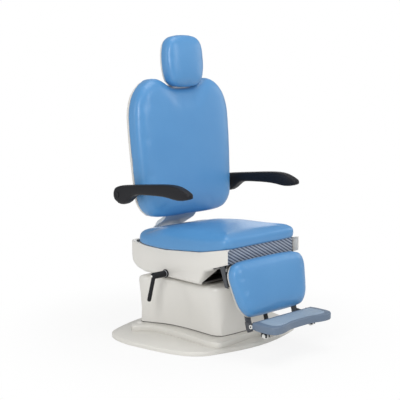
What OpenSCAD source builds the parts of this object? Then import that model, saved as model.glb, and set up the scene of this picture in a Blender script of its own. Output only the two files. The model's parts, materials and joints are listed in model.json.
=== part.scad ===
// Ear, nose and throat examination chair: floor plate, lifting column, swivelling seat,
// reclining back with a head rest and swing-up arms, and a padded leg rest with a foot plate.
// The column's axis is the Z axis, the floor is z = 0, and the seated person faces -Y.

/* [Floor plate and cover] */
// Reach of the moulded floor plate past each side of the plinth
plate_side_out = 104; // [80:2:140]
// Reach of the floor plate in front of the plinth
plate_front_out = 42; // [30:2:80]
// Reach of the floor plate behind the plinth
plate_rear_out = 105; // [85:5:145]
// Height of the floor plate's top
plate_top = 17; // [14:1:22]
// Thickness of the steel plate under the moulding
steel_t = 8; // [6:1:10]
// Reach of the raised plinth past each rear corner of the lower cover
plinth_side_out = 56; // [45:1:70]
// Reach of the plinth in front of the lower cover
plinth_front_out = 42; // [30:1:60]
// Height of the plinth above the floor plate
plinth_h = 24; // [16:1:32]
// Width of the lower cover at its rear corners
cover_w = 432; // [404:2:440]
// Depth of the lower cover
cover_d = 413; // [380:1:430]
// Column axis to the lower cover's rear edge
cover_rear = 175; // [165:1:178]
// Height of the lower cover above the plinth
cover_h = 195; // [180:1:200]
// Wall of the moulded covers and shells
wall = 4; // [3:0.5:5]

/* [Column and swivel] */
// Outside radius of the fixed column tube
column_r = 66; // [60:1:70]
// Wall of the fixed column tube
column_wall = 5; // [4:0.5:6]
// Radial play between the two column tubes, filled by the guide bush
column_play = 3; // [2:0.5:4]
// Height of the fixed column tube's top
column_top = 300; // [280:1:304]
// Outside radius of the swivel drum
drum_r = 100; // [92:1:106]
// Height of the swivel drum's top
drum_top = 318; // [316:1:320]
// Half width of the telescoping skirt
skirt_x = 113; // [112:1:120]
// Half depth of the telescoping skirt
skirt_y = 133; // [120:1:136]
// Radius of the swivel spigot
spigot_r = 35; // [28:1:40]

/* [Seat] */
// Half width of the moulded seat shell
shell_x = 206; // [202:1:212]
// Column axis to the shell's front corners
shell_front = 334; // [330:1:340]
// Column axis to the shell's rear wall
shell_rear = 242; // [236:1:248]
// Height of the shell's underside
shell_low = 252; // [250:1:254]
// Height of the seat line at its lowest stretch
seat_z = 364; // [362:1:368]
// Rise of the seat line from there to the front edge
seat_rise = 49; // [40:1:54]
// Half width of the seat cushion
cushion_x = 213; // [208:1:220]
// Depth of the seat cushion
cushion_d = 532; // [520:1:536]
// Column axis to the seat cushion's front edge
cushion_front = 327; // [323:1:329]
// Full height of the seat cushion at its crown
cushion_h = 65; // [50:1:68]
// Thickness of the seat board
board_t = 9.5; // [8:0.5:10]

/* [Back] */
// Angle of the back from upright
recline = 5.5; // [3:0.5:6]
// Half width of the back cushion at the shoulders
back_x = 262; // [240:1:268]
// Height of the back cushion
back_h = 564; // [550:1:576]
// Thickness of the back cushion at its crown
back_t = 75; // [60:1:80]
// Depth of the moulded shell behind the back
back_shell_d = 42; // [41:0.5:46]
// Inside width between the two arm rests
arm_gap = 560; // [550:2:580]
// Width of each arm rest
arm_w = 46; // [38:1:54]
// Half width of the head rest
head_x = 97; // [85:1:110]
// Height of the head rest
head_h = 204; // [180:1:220]
// Thickness of the head rest pad at its crown
head_t = 68; // [50:1:76]

/* [Leg rest] */
// Lean of the leg rest from upright
leg_lean = 15; // [14:0.5:16]
// Half width of the leg pad
leg_x = 205; // [200:1:210]
// Height of the leg pad
leg_h = 216; // [208:1:218]
// Thickness of the leg pad at its crown
leg_t = 47; // [36:1:50]
// Half width of the foot plate
foot_x = 175; // [168:1:190]
// Depth of the foot plate
foot_d = 115; // [105:1:125]
// Thickness of the foot plate
foot_t = 28; // [22:1:30]

/* [Hidden] */

$fn = 48;
// Overrun of every cut
cut = 1;
// Running clearance of a shaft in its hole
fit = 0.05;
// Gap between pieces that only lie on each other
seat_gap = 0.3;
// Points that the curve adds between two outline points
steps = 2;

// Point n behind (negative) or before a leaning plane and s up it; the plane leans by angle at the point at
function lean_point(at, angle, n, s) = at + [s * sin(angle) - n * cos(angle), s * cos(angle) + n * sin(angle)];

// Catmull-Rom point at share t between b and c
function curve_point(a, b, c, d, t) =
    (2 * b + (c - a) * t + (2 * a - 5 * b + 4 * c - d) * t * t + (3 * b - a - 3 * c + d) * t * t * t) / 2;

// Closed smooth outline through a half outline and its mirror image
function whole(half) =
    concat(half, [for (i = [len(half) - 2 : -1 : 1]) [-half[i].x, half[i].y]]);
function smooth(p) = let (n = len(p))
    [for (i = [0 : n - 1], k = [0 : steps - 1])
        curve_point(p[(i + n - 1) % n], p[i], p[(i + 1) % n], p[(i + 2) % n], k / steps)];

// Outline from shares of a half width and a depth that starts at y
function outline(shares, half_w, y, depth) =
    smooth(whole([for (s = shares) [s.x * half_w, y + s.y * depth]]));

// The same outline drawn in by d, square to its own line
function inset(p, d) = let (n = len(p))
    [for (i = [0 : n - 1])
        let (t = p[(i + 1) % n] - p[(i + n - 1) % n])
        p[i] + d * [-t.y, t.x] / norm(t)];

// Outline drawn towards a centre
function shrink(p, centre, share) = [for (q = p) centre + (q - centre) * share];

// Outline lifted to a height
function lift(p, z) = [for (q = p) [q.x, q.y, z]];

function centre_of(p) = [for (k = [0 : 2]) [for (q = p) q[k]] * [for (q = p) 1 / len(p)]];

// Closed skin over a stack of rings, lowest first, each running anticlockwise seen from above
module skin(rings) {
    n = len(rings[0]);
    m = len(rings);
    points = concat([for (r = rings, q = r) q], [centre_of(rings[0]), centre_of(rings[m - 1])]);
    sides = [for (k = [0 : m - 2], i = [0 : n - 1])
        let (a = k * n + i, b = k * n + (i + 1) % n)
        each [[a, a + n, b + n], [a, b + n, b]]];
    floor_fan = [for (i = [0 : n - 1]) [m * n, i, (i + 1) % n]];
    top_fan = [for (i = [0 : n - 1]) [m * n + 1, (m - 1) * n + (i + 1) % n, (m - 1) * n + i]];
    polyhedron(points, concat(sides, floor_fan, top_fan), convexity = 6);
}

// Crowned pad: drawn-in foot, rolled edge and dome. Pairs are shares of the roll and of the height
roll_shares = [[0.16, 0], [0.03, 0.08], [0, 0.3], [0, 0.5], [0.08, 0.63], [0.27, 0.75], [0.55, 0.84],
    [1, 0.91]];
dome_shares = [[0.72, 0.965], [0.45, 0.99], [0.2, 1]];
function pad_rings(p, height, roll, centre) = let (inner = inset(p, roll))
    concat([for (s = roll_shares) lift(inset(p, s.x * roll), s.y * height)],
        [for (s = dome_shares) lift(shrink(inner, centre, s.x), s.y * height)]);

// Tube and rounded bar shapes
module tube(r, bore, h) {
    difference() {
        cylinder(r = r, h = h);
        translate([0, 0, -cut]) cylinder(r = bore, h = h + 2 * cut);
    }
}
module rounded_rect(half_x, half_y, r) {
    hull() for (x = [-1, 1], y = [-1, 1])
        translate([x * (half_x - r), y * (half_y - r)]) circle(r = r, $fn = 24);
}
// A round bar along +X
module x_bar(r, length) { rotate([0, 90, 0]) cylinder(r = r, h = length); }
// A block by its lowest and highest corners
module block(low, high) { translate(low) cube(high - low); }
// A side profile in Y and Z, extruded along X from x to x + width
module side_plate(points, x, width) {
    translate([x, 0, 0]) rotate([90, 0, 90]) linear_extrude(width) polygon(points);
}
module both_sides() {
    children();
    mirror([1, 0, 0]) children();
}

// Outlines, as shares of the half width and of the depth, front first
plate_shares = [[0, 0], [0.29, 0.017], [0.638, 0.073], [0.745, 0.115], [0.83, 0.178], [0.915, 0.319],
    [0.984, 0.543], [1, 0.643], [0.984, 0.743], [0.936, 0.826], [0.851, 0.875], [0.638, 0.929],
    [0.34, 0.98], [0, 1]];
plinth_shares = [[0, 0.033], [0.382, 0.004], [0.643, 0], [0.717, 0.02], [0.757, 0.099], [0.746, 0.259],
    [0.746, 0.626], [0.805, 0.804], [0.985, 0.9], [1, 0.935], [0.919, 0.978], [0.551, 1], [0, 1]];
foot_cover_shares = [[0, 0], [0.521, 0.015], [0.599, 0.041], [0.668, 0.116], [0.668, 0.38],
    [0.691, 0.564], [0.77, 0.741], [0.963, 0.945], [0.876, 0.986], [0.7, 0.99], [0, 0.99]];
top_cover_shares = [[0, 0.002], [0.465, 0.012], [0.645, 0.068], [0.728, 0.165], [0.737, 0.38],
    [0.76, 0.564], [0.829, 0.741], [1, 0.95], [0.92, 0.993], [0.75, 1], [0, 1]];
// Heights of the cover's rings with their blend from foot to top, and how far each is drawn in
cover_ring_shares = [[0, 0, 0], [0.1, 0.05, 0.3], [0.3, 0.22, 0.5], [0.6, 0.58, 0.4], [0.9, 0.93, 0],
    [0.97, 1, 0.35], [1, 1, 1]];
cover_round = 9;

plinth_rear = cover_rear;
plinth_w = cover_w + 2 * plinth_side_out;
plinth_d = cover_d + plinth_front_out;
plate_rear = plinth_rear + plate_rear_out;
plate_w = plinth_w + 2 * plate_side_out;
plate_d = plinth_d + plate_front_out + plate_rear_out;
plinth_top = plate_top + plinth_h;
cover_top = plinth_top + cover_h;
plate_line = outline(plate_shares, plate_w / 2, plate_rear - plate_d, plate_d);
plinth_line = outline(plinth_shares, plinth_w / 2, plinth_rear - plinth_d, plinth_d);
cover_front = cover_rear - cover_d;
foot_cover_line = outline(foot_cover_shares, cover_w / 2, cover_front, cover_d);
top_cover_line = outline(top_cover_shares, cover_w / 2, cover_front, cover_d);

// Rings of the lower cover, drawn in by d and stopping short of the top by d
function cover_rings(d) = [for (s = cover_ring_shares)
    lift(inset(foot_cover_line * (1 - s.y) + top_cover_line * s.y, d + s.z * cover_round),
        plinth_top + s.x * (cover_h - d) - (s.x == 0 && d > 0 ? cut : 0))];

module base_frame() {
    color([0.35, 0.36, 0.38]) difference() {
        linear_extrude(steel_t) polygon(inset(plate_line, 3 * wall));
        for (a = [0 : bolt_turn : 359]) rotate(a) translate([bolt_circle, 0, -cut])
            cylinder(r = bolt_r, h = steel_t + 2 * cut);
    }
}

// The moulded floor plate is a shallow tray turned over the steel plate
plate_foot = 0.5;
plate_edge = 3;
module base_plate() {
    color([0.86, 0.85, 0.83]) difference() {
        skin([lift(plate_line, plate_foot), lift(plate_line, plate_top - plate_edge),
            lift(inset(plate_line, plate_edge / 3), plate_top - plate_edge / 3),
            lift(inset(plate_line, plate_edge), plate_top)]);
        translate([0, 0, -cut]) linear_extrude(steel_t + cut) polygon(inset(plate_line, 3 * wall - seat_gap));
        translate([0, 0, -cut]) cylinder(r = column_r + flange_w + wall, h = plate_top + 2 * cut);
    }
}

module plinth() {
    color([0.8, 0.79, 0.77]) difference() {
        skin([lift(plinth_line, plate_top), lift(plinth_line, plinth_top - wall),
            lift(inset(plinth_line, wall / 3), plinth_top - wall / 3),
            lift(inset(plinth_line, wall), plinth_top)]);
        translate([0, 0, plate_top - cut]) linear_extrude(plinth_h - wall + cut)
            polygon(inset(plinth_line, wall));
        translate([0, 0, plate_top]) linear_extrude(plinth_h + cut)
            polygon(inset(foot_cover_line, 2 * wall));
    }
}

// Play between the skirt and the cover's opening
skirt_play = 5;
skirt_round = 16;
module lower_cover() {
    color([0.84, 0.84, 0.82]) difference() {
        skin(cover_rings(0));
        skin(cover_rings(wall));
        translate([0, 0, cover_top - 3 * wall]) linear_extrude(4 * wall)
            rounded_rect(skirt_x + skirt_play, skirt_y + skirt_play, skirt_round + skirt_play);
    }
}

// The fixed column stands on a bolted flange
flange_w = 26;
flange_t = 10;
bolt_r = 5;
bolt_turn = 60;
bolt_circle = column_r + flange_w / 2;
column_bore = column_r - column_wall;
column_inner_r = column_bore - column_play;
module column_outer() {
    color([0.45, 0.46, 0.48]) translate([0, 0, steel_t]) difference() {
        union() {
            cylinder(r = column_r, h = column_top - steel_t);
            cylinder(r = column_r + flange_w, h = flange_t);
        }
        translate([0, 0, -cut]) cylinder(r = column_bore, h = column_top + 2 * cut);
        for (a = [0 : bolt_turn : 359]) rotate(a) translate([bolt_circle, 0, -cut])
            cylinder(r = bolt_r, h = flange_t + 2 * cut);
    }
}

bolt_head_h = 5;
bolt_head_share = 1.7;
module column_bolts() {
    color([0.6, 0.61, 0.63]) for (a = [0 : bolt_turn : 359]) rotate(a) translate([bolt_circle, 0, 0]) {
        translate([0, 0, cut]) cylinder(r = bolt_r - fit, h = steel_t + flange_t - cut);
        translate([0, 0, steel_t + flange_t]) cylinder(r = bolt_r * bolt_head_share, h = bolt_head_h, $fn = 6);
    }
}

bush_h = 24;
module column_bush() {
    color([0.2, 0.2, 0.21]) translate([0, 0, column_top - bush_h])
        tube(column_bore - fit, column_inner_r + fit, bush_h);
}

// The lift actuator's body stands on the steel plate and its rod lifts the drum
lift_body_r = 28;
lift_body_top = 250;
lift_rod_r = 12;
lift_rod_low = 28;
lift_foot_share = 1.5;
module lift_actuator() {
    color([0.25, 0.26, 0.28]) translate([0, 0, steel_t]) difference() {
        union() {
            cylinder(r = lift_body_r, h = lift_body_top - steel_t);
            cylinder(r = lift_body_r * lift_foot_share, h = flange_t);
        }
        translate([0, 0, flange_t]) cylinder(r = lift_rod_r + fit, h = lift_body_top);
    }
}

drum_wall = 6;
drum_plate = 8;
drum_low = 250;
module column_inner() {
    color([0.66, 0.67, 0.69]) translate([0, 0, lift_rod_low])
        tube(column_inner_r, column_inner_r - drum_plate, drum_top - drum_plate - lift_rod_low);
}

module lift_rod() {
    color([0.75, 0.76, 0.78]) translate([0, 0, lift_rod_low])
        cylinder(r = lift_rod_r, h = drum_top - drum_plate - lift_rod_low);
}

race_t = 6;
race_in_share = 0.6;
frame_low = drum_top + 2 * race_t;
frame_t = 6;
nut_t = 11.5;
nut_share = 1.4;
spigot_top = frame_low + frame_t + seat_gap + nut_t;
module swivel_drum() {
    color([0.55, 0.56, 0.58]) {
        difference() {
            translate([0, 0, drum_low]) cylinder(r = drum_r, h = drum_top - drum_low);
            translate([0, 0, drum_low - cut])
                cylinder(r = drum_r - drum_wall, h = drum_top - drum_plate - drum_low + cut);
        }
        translate([0, 0, drum_top]) cylinder(r = spigot_r, h = frame_low + frame_t - drum_top);
        translate([0, 0, drum_top]) cylinder(r = spigot_r - race_t, h = spigot_top - drum_top);
    }
}

module lower_race() {
    color([0.7, 0.7, 0.72]) translate([0, 0, drum_top])
        tube(drum_r - race_t, drum_r * race_in_share, race_t - seat_gap);
}

module swivel_nut() {
    color([0.5, 0.51, 0.53]) translate([0, 0, frame_low + frame_t + seat_gap]) difference() {
        cylinder(r = spigot_r * nut_share, h = nut_t, $fn = 6);
        translate([0, 0, -cut]) cylinder(r = spigot_r - race_t + fit, h = nut_t + 2 * cut);
    }
}

skirt_wall = 3;
skirt_low = 22;
module inner_skirt() {
    color([0.1, 0.1, 0.11]) difference() {
        translate([0, 0, skirt_low]) linear_extrude(drum_low - skirt_low)
            rounded_rect(skirt_x, skirt_y, skirt_round);
        translate([0, 0, skirt_low - cut]) linear_extrude(drum_low - skirt_low - skirt_wall + cut)
            rounded_rect(skirt_x - skirt_wall, skirt_y - skirt_wall, skirt_round - skirt_wall);
        translate([0, 0, skirt_low]) cylinder(r = column_r + skirt_wall, h = drum_low);
    }
}

// The seat line is the shell's top edge, the board's top and the cushion's foot. Pairs are shares of
// the shell's depth from its front, and of the rise
shell_d = shell_front + shell_rear;
line_shares = [[0, 1], [0.254, 0.388], [0.603, 0], [0.78, 0], [1, 0.184]];
function seat_line(y) = seat_z + seat_rise * lookup((y + shell_front) / shell_d, line_shares);
// Bends of the seat line between two places, with both ends
function bends(a, b) = concat([a],
    [for (s = line_shares) let (y = s.x * shell_d - shell_front) if (y > a && y < b) y], [b]);
// The underside climbs to the front lip and rounds up at the rear
lip_rise = 97;
low_shares = [[0, 1], [0.22, 0.567], [0.271, 0], [0.839, 0], [0.908, 0.103], [0.957, 0.289],
    [0.986, 0.546], [1, 0.907]];
function shell_floor(y) = shell_low + lip_rise * lookup((y + shell_front) / shell_d, low_shares);
// Stations of the shell's rings, as shares of its depth from the front
shell_station_shares = [0, 0.06, 0.14, 0.22, 0.254, 0.271, 0.38, 0.5, 0.603, 0.7, 0.78, 0.839, 0.875, 0.908,
    0.93, 0.944, 0.957, 0.974, 0.986, 0.995, 1];
shell_corner = 40;
shell_edge = 18;
arc_steps = 4;
function shell_half(y) = let (over = y - (shell_rear - shell_corner))
    over <= 0 ? shell_x : shell_x - shell_corner + sqrt(max(shell_corner * shell_corner - over * over, 0));
// One ring across the shell, drawn in by side, floor and top
function shell_ring(y, y_at, side, floor_in, top_in) =
    let (w = shell_half(y) - side, z = shell_floor(y) + floor_in, top = seat_line(y) - top_in,
        r = max(shell_edge - side, wall),
        right = [for (i = [0 : arc_steps]) let (a = -90 + 90 * i / arc_steps)
            [w - r + r * cos(a), z + r + r * sin(a), -y_at]])
    concat(right, [[w, top, -y_at], [-w, top, -y_at]],
        [for (i = [arc_steps : -1 : 0]) [-right[i].x, right[i].y, -y_at]]);
// A solid block of the shell's form; the front end of a cavity runs past the lip
module shell_form(side, floor_in, top_in, front_over) {
    rotate([90, 0, 0]) skin([for (i = [len(shell_station_shares) - 1 : -1 : 0])
        let (s = shell_station_shares[i], y = s * shell_d - shell_front)
        shell_ring(y, y - side * s - (i == 0 ? front_over : 0), side, floor_in, top_in)]);
}

shell_flange = 12;
chin_flange = 40;
chin_open = 84;
chin_gusset = 77;
chin_rear = shell_d * low_shares[2].x - shell_front;
chin_bend_z = shell_low + lip_rise * low_shares[1].y;
// Half of the chin's opening seen from the front: gussets at the slanted face, flanges above it
chin_line = [[shell_x - wall, shell_low - cut], [shell_x - chin_gusset, chin_bend_z],
    [shell_x - chin_flange, chin_bend_z], [shell_x - chin_flange, seat_z]];
notch_x = 103;
notch_z = 285;
notch_deep = 52;
lever_y = 8;
lever_z = 269;
lever_shaft_r = 8;
module seat_shell() {
    color([0.84, 0.83, 0.81]) difference() {
        shell_form(0, 0, 0, 0);
        shell_form(wall, wall, wall, cut);
        shell_form(shell_flange, wall * 2, -shell_edge, cut);
        // The leg rest's arms pass in front of the chin's flanges
        translate([0, chin_rear - wall, 0]) rotate([90, 0, 0]) linear_extrude(chin_rear + shell_front + cut)
            polygon(concat(chin_line, [for (i = [3 : -1 : 0]) [-chin_line[i].x, chin_line[i].y]]));
        block([wall - shell_x, -shell_front - cut, shell_low - cut],
            [shell_x - wall, -shell_front + chin_open, seat_z]);
        block([-notch_x, shell_rear - notch_deep, notch_z], [notch_x, shell_rear + cut, seat_z + seat_rise]);
        translate([0, 0, shell_low - cut]) cylinder(r = drum_r + wall, h = wall + 2 * cut);
        translate([-shell_x - cut, lever_y, lever_z]) x_bar(lever_shaft_r + cut, 4 * wall);
    }
}

// Hinges of the back and of the leg rest, in Y and Z
back_pivot = [175, 345];
leg_pivot = [-288, 380];
hinge_r = 8;
bush_r = 11;
ear_r = 14;
side_x = 166;
side_t = 6;
front_plate_y = -304;
board_front = -276;
board_rear = 150;
board_foot = board_t - 0.5;
// Each side plate of the frame carries the board on its top edge and the two hinges in its ears. Pairs are
// shares of its length and of its height, with a hanger for the lever's shaft in the middle
frame_rear = 188;
side_low = shell_low + wall + seat_gap;
side_h = 132;
side_shares = [[0, 0.725], [0.069, 0.664], [0.14, 0.498], [0.557, 0.467], [0.598, 0], [0.671, 0],
    [0.711, 0.467], [0.943, 0.498], [0.992, 0.589], [1, 0.725]];
side_len = frame_rear - front_plate_y;
side_line = [for (s = side_shares) [front_plate_y + s.x * side_len, side_low + s.y * side_h]];
board_bends = bends(board_front, board_rear);
board_edge = [for (i = [len(board_bends) - 1 : -1 : 0])
    [board_bends[i], seat_line(board_bends[i]) - board_foot]];
centre_plate_x = 115;
centre_plate_front = -215;
centre_plate_rear = 125;
back_bar = [[-95, -60], [85, 125]];
leg_bar = [[-215, -192], [-12, 22], [85, 125]];
module seat_frame() {
    color([0.3, 0.31, 0.33]) difference() {
        union() {
            both_sides() {
                side_plate(concat(side_line, board_edge, [[front_plate_y, side_low + side_h]]), side_x, side_t);
                for (p = [back_pivot, leg_pivot]) translate([side_x, p.x, p.y]) x_bar(ear_r, side_t);
            }
            block([-centre_plate_x, centre_plate_front, frame_low],
                [centre_plate_x, centre_plate_rear, frame_low + frame_t]);
            for (b = back_bar) block([centre_plate_x, b.x, frame_low], [side_x, b.y, frame_low + frame_t]);
            for (b = leg_bar) block([-side_x, b.x, frame_low], [-centre_plate_x, b.y, frame_low + frame_t]);
            block([centre_plate_x, leg_bar[0].x, frame_low], [side_x, leg_bar[0].y, frame_low + frame_t]);
        }
        translate([0, 0, frame_low - cut]) cylinder(r = spigot_r + fit, h = frame_t + 2 * cut);
        for (p = [back_pivot, leg_pivot])
            translate([-side_x - side_t - cut, p.x, p.y]) x_bar(bush_r + fit, 2 * (side_x + side_t + cut));
        translate([-side_x - side_t - cut, lever_y, lever_z]) x_bar(lever_shaft_r + fit, side_t + 2 * cut);
    }
}

module hinge_bushes() {
    color([0.2, 0.2, 0.21]) for (p = [back_pivot, leg_pivot], x = [-side_x - side_t, side_x])
        translate([x, p.x, p.y]) rotate([0, 90, 0]) tube(bush_r, hinge_r + fit, side_t);
}

module upper_race() {
    color([0.7, 0.7, 0.72]) translate([0, 0, drum_top + race_t])
        tube(drum_r - race_t, drum_r * race_in_share, race_t);
}

board_x = 180;
module seat_board() {
    top = [for (y = board_bends) [y, seat_line(y) + board_t - board_foot]];
    color([0.55, 0.43, 0.3]) side_plate(concat(top, board_edge), -board_x, 2 * board_x);
}

// The cushion's foot follows the seat line, and its crown fills the line's dip
cushion_shares = [[0, 0], [0.704, 0], [0.915, 0.023], [0.972, 0.088], [0.995, 0.333], [1, 0.615],
    [0.995, 0.81], [0.96, 0.915], [0.87, 0.975], [0.6, 0.998], [0, 1]];
crown_rise = 28;
crown_shares = [[0, 0], [0.145, 0.25], [0.26, 0.7], [0.5, 1], [0.64, 0.96], [0.73, 0.7], [0.8, 0.36], [0.9, 0]];
function crown(q) = crown_rise * pow(max(q.z, 0) / cushion_h, 2)
    * lookup((q.y + cushion_front) / cushion_d, crown_shares);
cushion_line = outline(cushion_shares, cushion_x, -cushion_front, cushion_d);
cushion_roll = 52;
cushion_foot = board_t - board_foot + seat_gap;
cushion_under = 12;
module seat_cushion() {
    rings = pad_rings(cushion_line, cushion_h, cushion_roll, [0, cushion_d / 2 - cushion_front]);
    stack = concat([[for (q = rings[0]) [q.x, q.y, -cushion_under]]], rings);
    under = [for (y = bends(-shell_front, shell_rear)) [y, seat_line(y) + cushion_foot]];
    color([0.36, 0.6, 0.8]) difference() {
        skin([for (r = stack) [for (q = r) [q.x, q.y, seat_line(q.y) + cushion_foot + q.z + crown(q)]]]);
        side_plate(concat(under, [[shell_rear, shell_low], [-shell_front, shell_low]]),
            -2 * cushion_x, 4 * cushion_x);
    }
}

bracket_y = [-130, 96];
bracket_w = 26;
module shell_brackets() {
    color([0.4, 0.41, 0.43]) both_sides() for (y = bracket_y) {
        block([side_x + side_t, y, frame_low - wall], [shell_x - wall, y + bracket_w, frame_low]);
        block([shell_x - 2 * wall, y, frame_low], [shell_x - wall, y + bracket_w, frame_low + 2 * wall]);
    }
}

// Ribbed apron across the front
apron_x = shell_x - shell_flange - 3;
apron_low = 348;
apron_top = seat_line(front_plate_y) + cushion_foot - seat_gap;
apron_t = 6;
rib_h = 3;
rib_w = 5.5;
rib_pitch = 11;
rib_angle = 29;
rib_step = rib_pitch / sin(rib_angle);
ribs = ceil((apron_x + apron_top - apron_low) / rib_step);
module front_apron() {
    color([0.46, 0.52, 0.58]) {
        block([-apron_x, front_plate_y - apron_t, apron_low], [apron_x, front_plate_y, apron_top]);
        intersection() {
            block([-apron_x, front_plate_y - apron_t - rib_h, apron_low], [apron_x, front_plate_y, apron_top]);
            for (i = [-ribs : ribs]) translate([i * rib_step, 0, (apron_low + apron_top) / 2])
                rotate([0, rib_angle, 0]) block([-apron_x / 2, front_plate_y - apron_t - rib_h, -rib_w / 2],
                    [apron_x / 2, front_plate_y - apron_t + fit, rib_w / 2]);
        }
    }
}

// The brake shoe hangs from the frame beside the drum, and the lever's shaft pushes it
shoe_x = 118;
shoe_half_y = 18;
shoe_h = 24;
hanger_x = 108;
hanger_t = 6;
module brake_block() {
    color([0.25, 0.25, 0.27]) difference() {
        union() {
            block([-shoe_x, lever_y - shoe_half_y, lever_z - shoe_h / 2],
                [2 * hanger_t - shoe_x, lever_y + shoe_half_y, lever_z + shoe_h / 2]);
            block([-hanger_x - hanger_t, lever_y - shoe_half_y / 2, lever_z],
                [-hanger_x, lever_y + shoe_half_y / 2, frame_low]);
        }
        translate([0, 0, drum_low]) cylinder(r = drum_r + seat_gap, h = frame_low - drum_low - cut);
    }
}

// Drives: a rod with a slotted yoke pulls a crank pin on each hinge shaft
drive_x = 148;
drive_offset = 11;
crank_t = 6;
crank_hub = 13;
crank_tip = 9;
pin_r = 5;
rod_r = 7;
drive_axis_x = drive_x - drive_offset;
yoke_half = 11;
yoke_t = 12;
slot_play = 2;
back_crank_len = 40;
leg_crank_len = 60;
back_crank_angle = -60;
leg_crank_angle = -60;
leg_elbow_len = 40;
leg_elbow_angle = -29;
function pin_at(pivot, length, angle) = pivot + length * [cos(angle), sin(angle)];
back_pin = pin_at(back_pivot, back_crank_len, back_crank_angle);
leg_pin = pin_at(leg_pivot, leg_crank_len, leg_crank_angle);
leg_elbow = pin_at(leg_pivot, leg_elbow_len, leg_elbow_angle);
back_rod_z = 308;
leg_rod_z = 320;

// A crank from a pivot round an elbow to its pin; the pin points to the chair's middle
module crank(pivot, elbow, pin) {
    difference() {
        union() {
            for (end = [[pivot, crank_hub], [pin, crank_tip]]) hull() {
                translate([drive_x - crank_t / 2, end[0].x, end[0].y]) x_bar(end[1], crank_t);
                translate([drive_x - crank_t / 2, elbow.x, elbow.y]) x_bar(crank_tip, crank_t);
            }
            translate([drive_axis_x - yoke_t / 2 - cut, pin.x, pin.y])
                x_bar(pin_r, drive_x - drive_axis_x + yoke_t / 2 + cut);
        }
        translate([0, pivot.x, pivot.y]) x_bar(hinge_r + fit, 2 * drive_x);
    }
}

// A rod from its yoke towards the actuator, which lies at direction dir along Y
module yoke_rod(pin, length, z, low, high, dir) {
    difference() {
        union() {
            block([drive_axis_x - yoke_t / 2, pin.x - yoke_half, low - wall],
                [drive_axis_x + yoke_t / 2, pin.x + yoke_half, high + wall]);
            translate([drive_axis_x, pin.x + dir * (yoke_half - cut), z]) rotate([-dir * 90, 0, 0])
                cylinder(r = rod_r, h = length + cut);
        }
        block([drive_axis_x - yoke_t, pin.x - pin_r - slot_play, low],
            [drive_axis_x + yoke_t, pin.x + pin_r + slot_play, high]);
    }
}

// An actuator body from its mouth to the gear housing under a bar of the frame
module drive_body(r, z, mouth, bar, dir) {
    length = dir > 0 ? mouth - bar.y : bar.x - mouth;
    difference() {
        union() {
            translate([drive_axis_x, mouth, z]) rotate([dir * 90, 0, 0]) cylinder(r = r, h = length);
            block([drive_axis_x - r, dir > 0 ? bar.x : bar.x - cut, z - r],
                [drive_axis_x + r, dir > 0 ? bar.y + cut : bar.y, frame_low]);
        }
        translate([drive_axis_x, mouth, z]) rotate([dir * 90, 0, 0]) translate([0, 0, -cut])
            cylinder(r = rod_r + fit, h = length * bore_share);
    }
}

back_body_r = 17;
leg_body_r = 16;
back_mouth = 85;
leg_mouth = -190;
back_rod_len = 154;
leg_rod_len = 187;
bore_share = 0.8;
back_slot = [298.5, 322];
leg_slot = [314, 336];
module back_actuator() {
    color([0.25, 0.26, 0.28])
        drive_body(back_body_r, back_rod_z, back_mouth, back_bar[0], 1);
}
module leg_actuator() {
    color([0.25, 0.26, 0.28]) mirror([1, 0, 0])
        drive_body(leg_body_r, leg_rod_z, leg_mouth, leg_bar[1], -1);
}
module back_rod() {
    color([0.75, 0.76, 0.78]) yoke_rod(back_pin, back_rod_len, back_rod_z, back_slot.x, back_slot.y, -1);
}
module leg_rod() {
    color([0.75, 0.76, 0.78]) mirror([1, 0, 0])
        yoke_rod(leg_pin, leg_rod_len, leg_rod_z, leg_slot.x, leg_slot.y, 1);
}
module back_shaft() {
    color([0.7, 0.71, 0.73]) translate([-side_x - side_t, back_pivot.x, back_pivot.y])
        x_bar(hinge_r, 2 * (side_x + side_t));
}
module back_crank() {
    color([0.4, 0.41, 0.43]) crank(back_pivot, (back_pivot + back_pin) / 2, back_pin);
}
arm_plate_x = 194;
module leg_shaft() {
    color([0.7, 0.71, 0.73]) translate([-arm_plate_x - side_t, leg_pivot.x, leg_pivot.y])
        x_bar(hinge_r, 2 * (arm_plate_x + side_t));
}
// The elbow carries the pin past the apron's lower edge
module leg_crank() {
    color([0.4, 0.41, 0.43]) mirror([1, 0, 0]) crank(leg_pivot, leg_elbow, leg_pin);
}

// Swivel brake lever
lever_hub_r = 13;
lever_elbow_x = 270;
lever_tip_x = 294;
lever_tip_z = 176;
lever_toe = 2;
lever_tip = [-lever_tip_x, lever_y + lever_toe, lever_tip_z];
lever_arm_r = 8;
lever_screw_r = 4.5;
module clamp_shaft() {
    color([0.7, 0.71, 0.73]) {
        translate([-lever_elbow_x + lever_hub_r, lever_y, lever_z])
            x_bar(lever_shaft_r, lever_elbow_x - lever_hub_r - shoe_x - seat_gap);
    }
}
module clamp_lever() {
    color([0.13, 0.13, 0.14]) difference() {
        union() {
            translate([-lever_elbow_x, lever_y, lever_z])
                x_bar(lever_hub_r, lever_elbow_x - shell_x - 2 * seat_gap);
            translate([-shell_x - 2 * seat_gap - wall, lever_y, lever_z]) x_bar(lever_hub_r + wall, wall);
            translate([-lever_elbow_x, lever_y, lever_z]) sphere(r = lever_hub_r, $fn = 24);
            hull() {
                translate([-lever_elbow_x, lever_y, lever_z]) sphere(r = lever_arm_r, $fn = 16);
                translate(lever_tip) sphere(r = lever_arm_r, $fn = 16);
            }
        }
        translate([-lever_elbow_x + lever_hub_r, lever_y, lever_z])
            x_bar(lever_shaft_r + fit, lever_elbow_x);
        translate([-lever_elbow_x - 2 * lever_hub_r, lever_y, lever_z])
            x_bar(lever_screw_r + fit, lever_hub_r + wall);
    }
}
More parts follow.
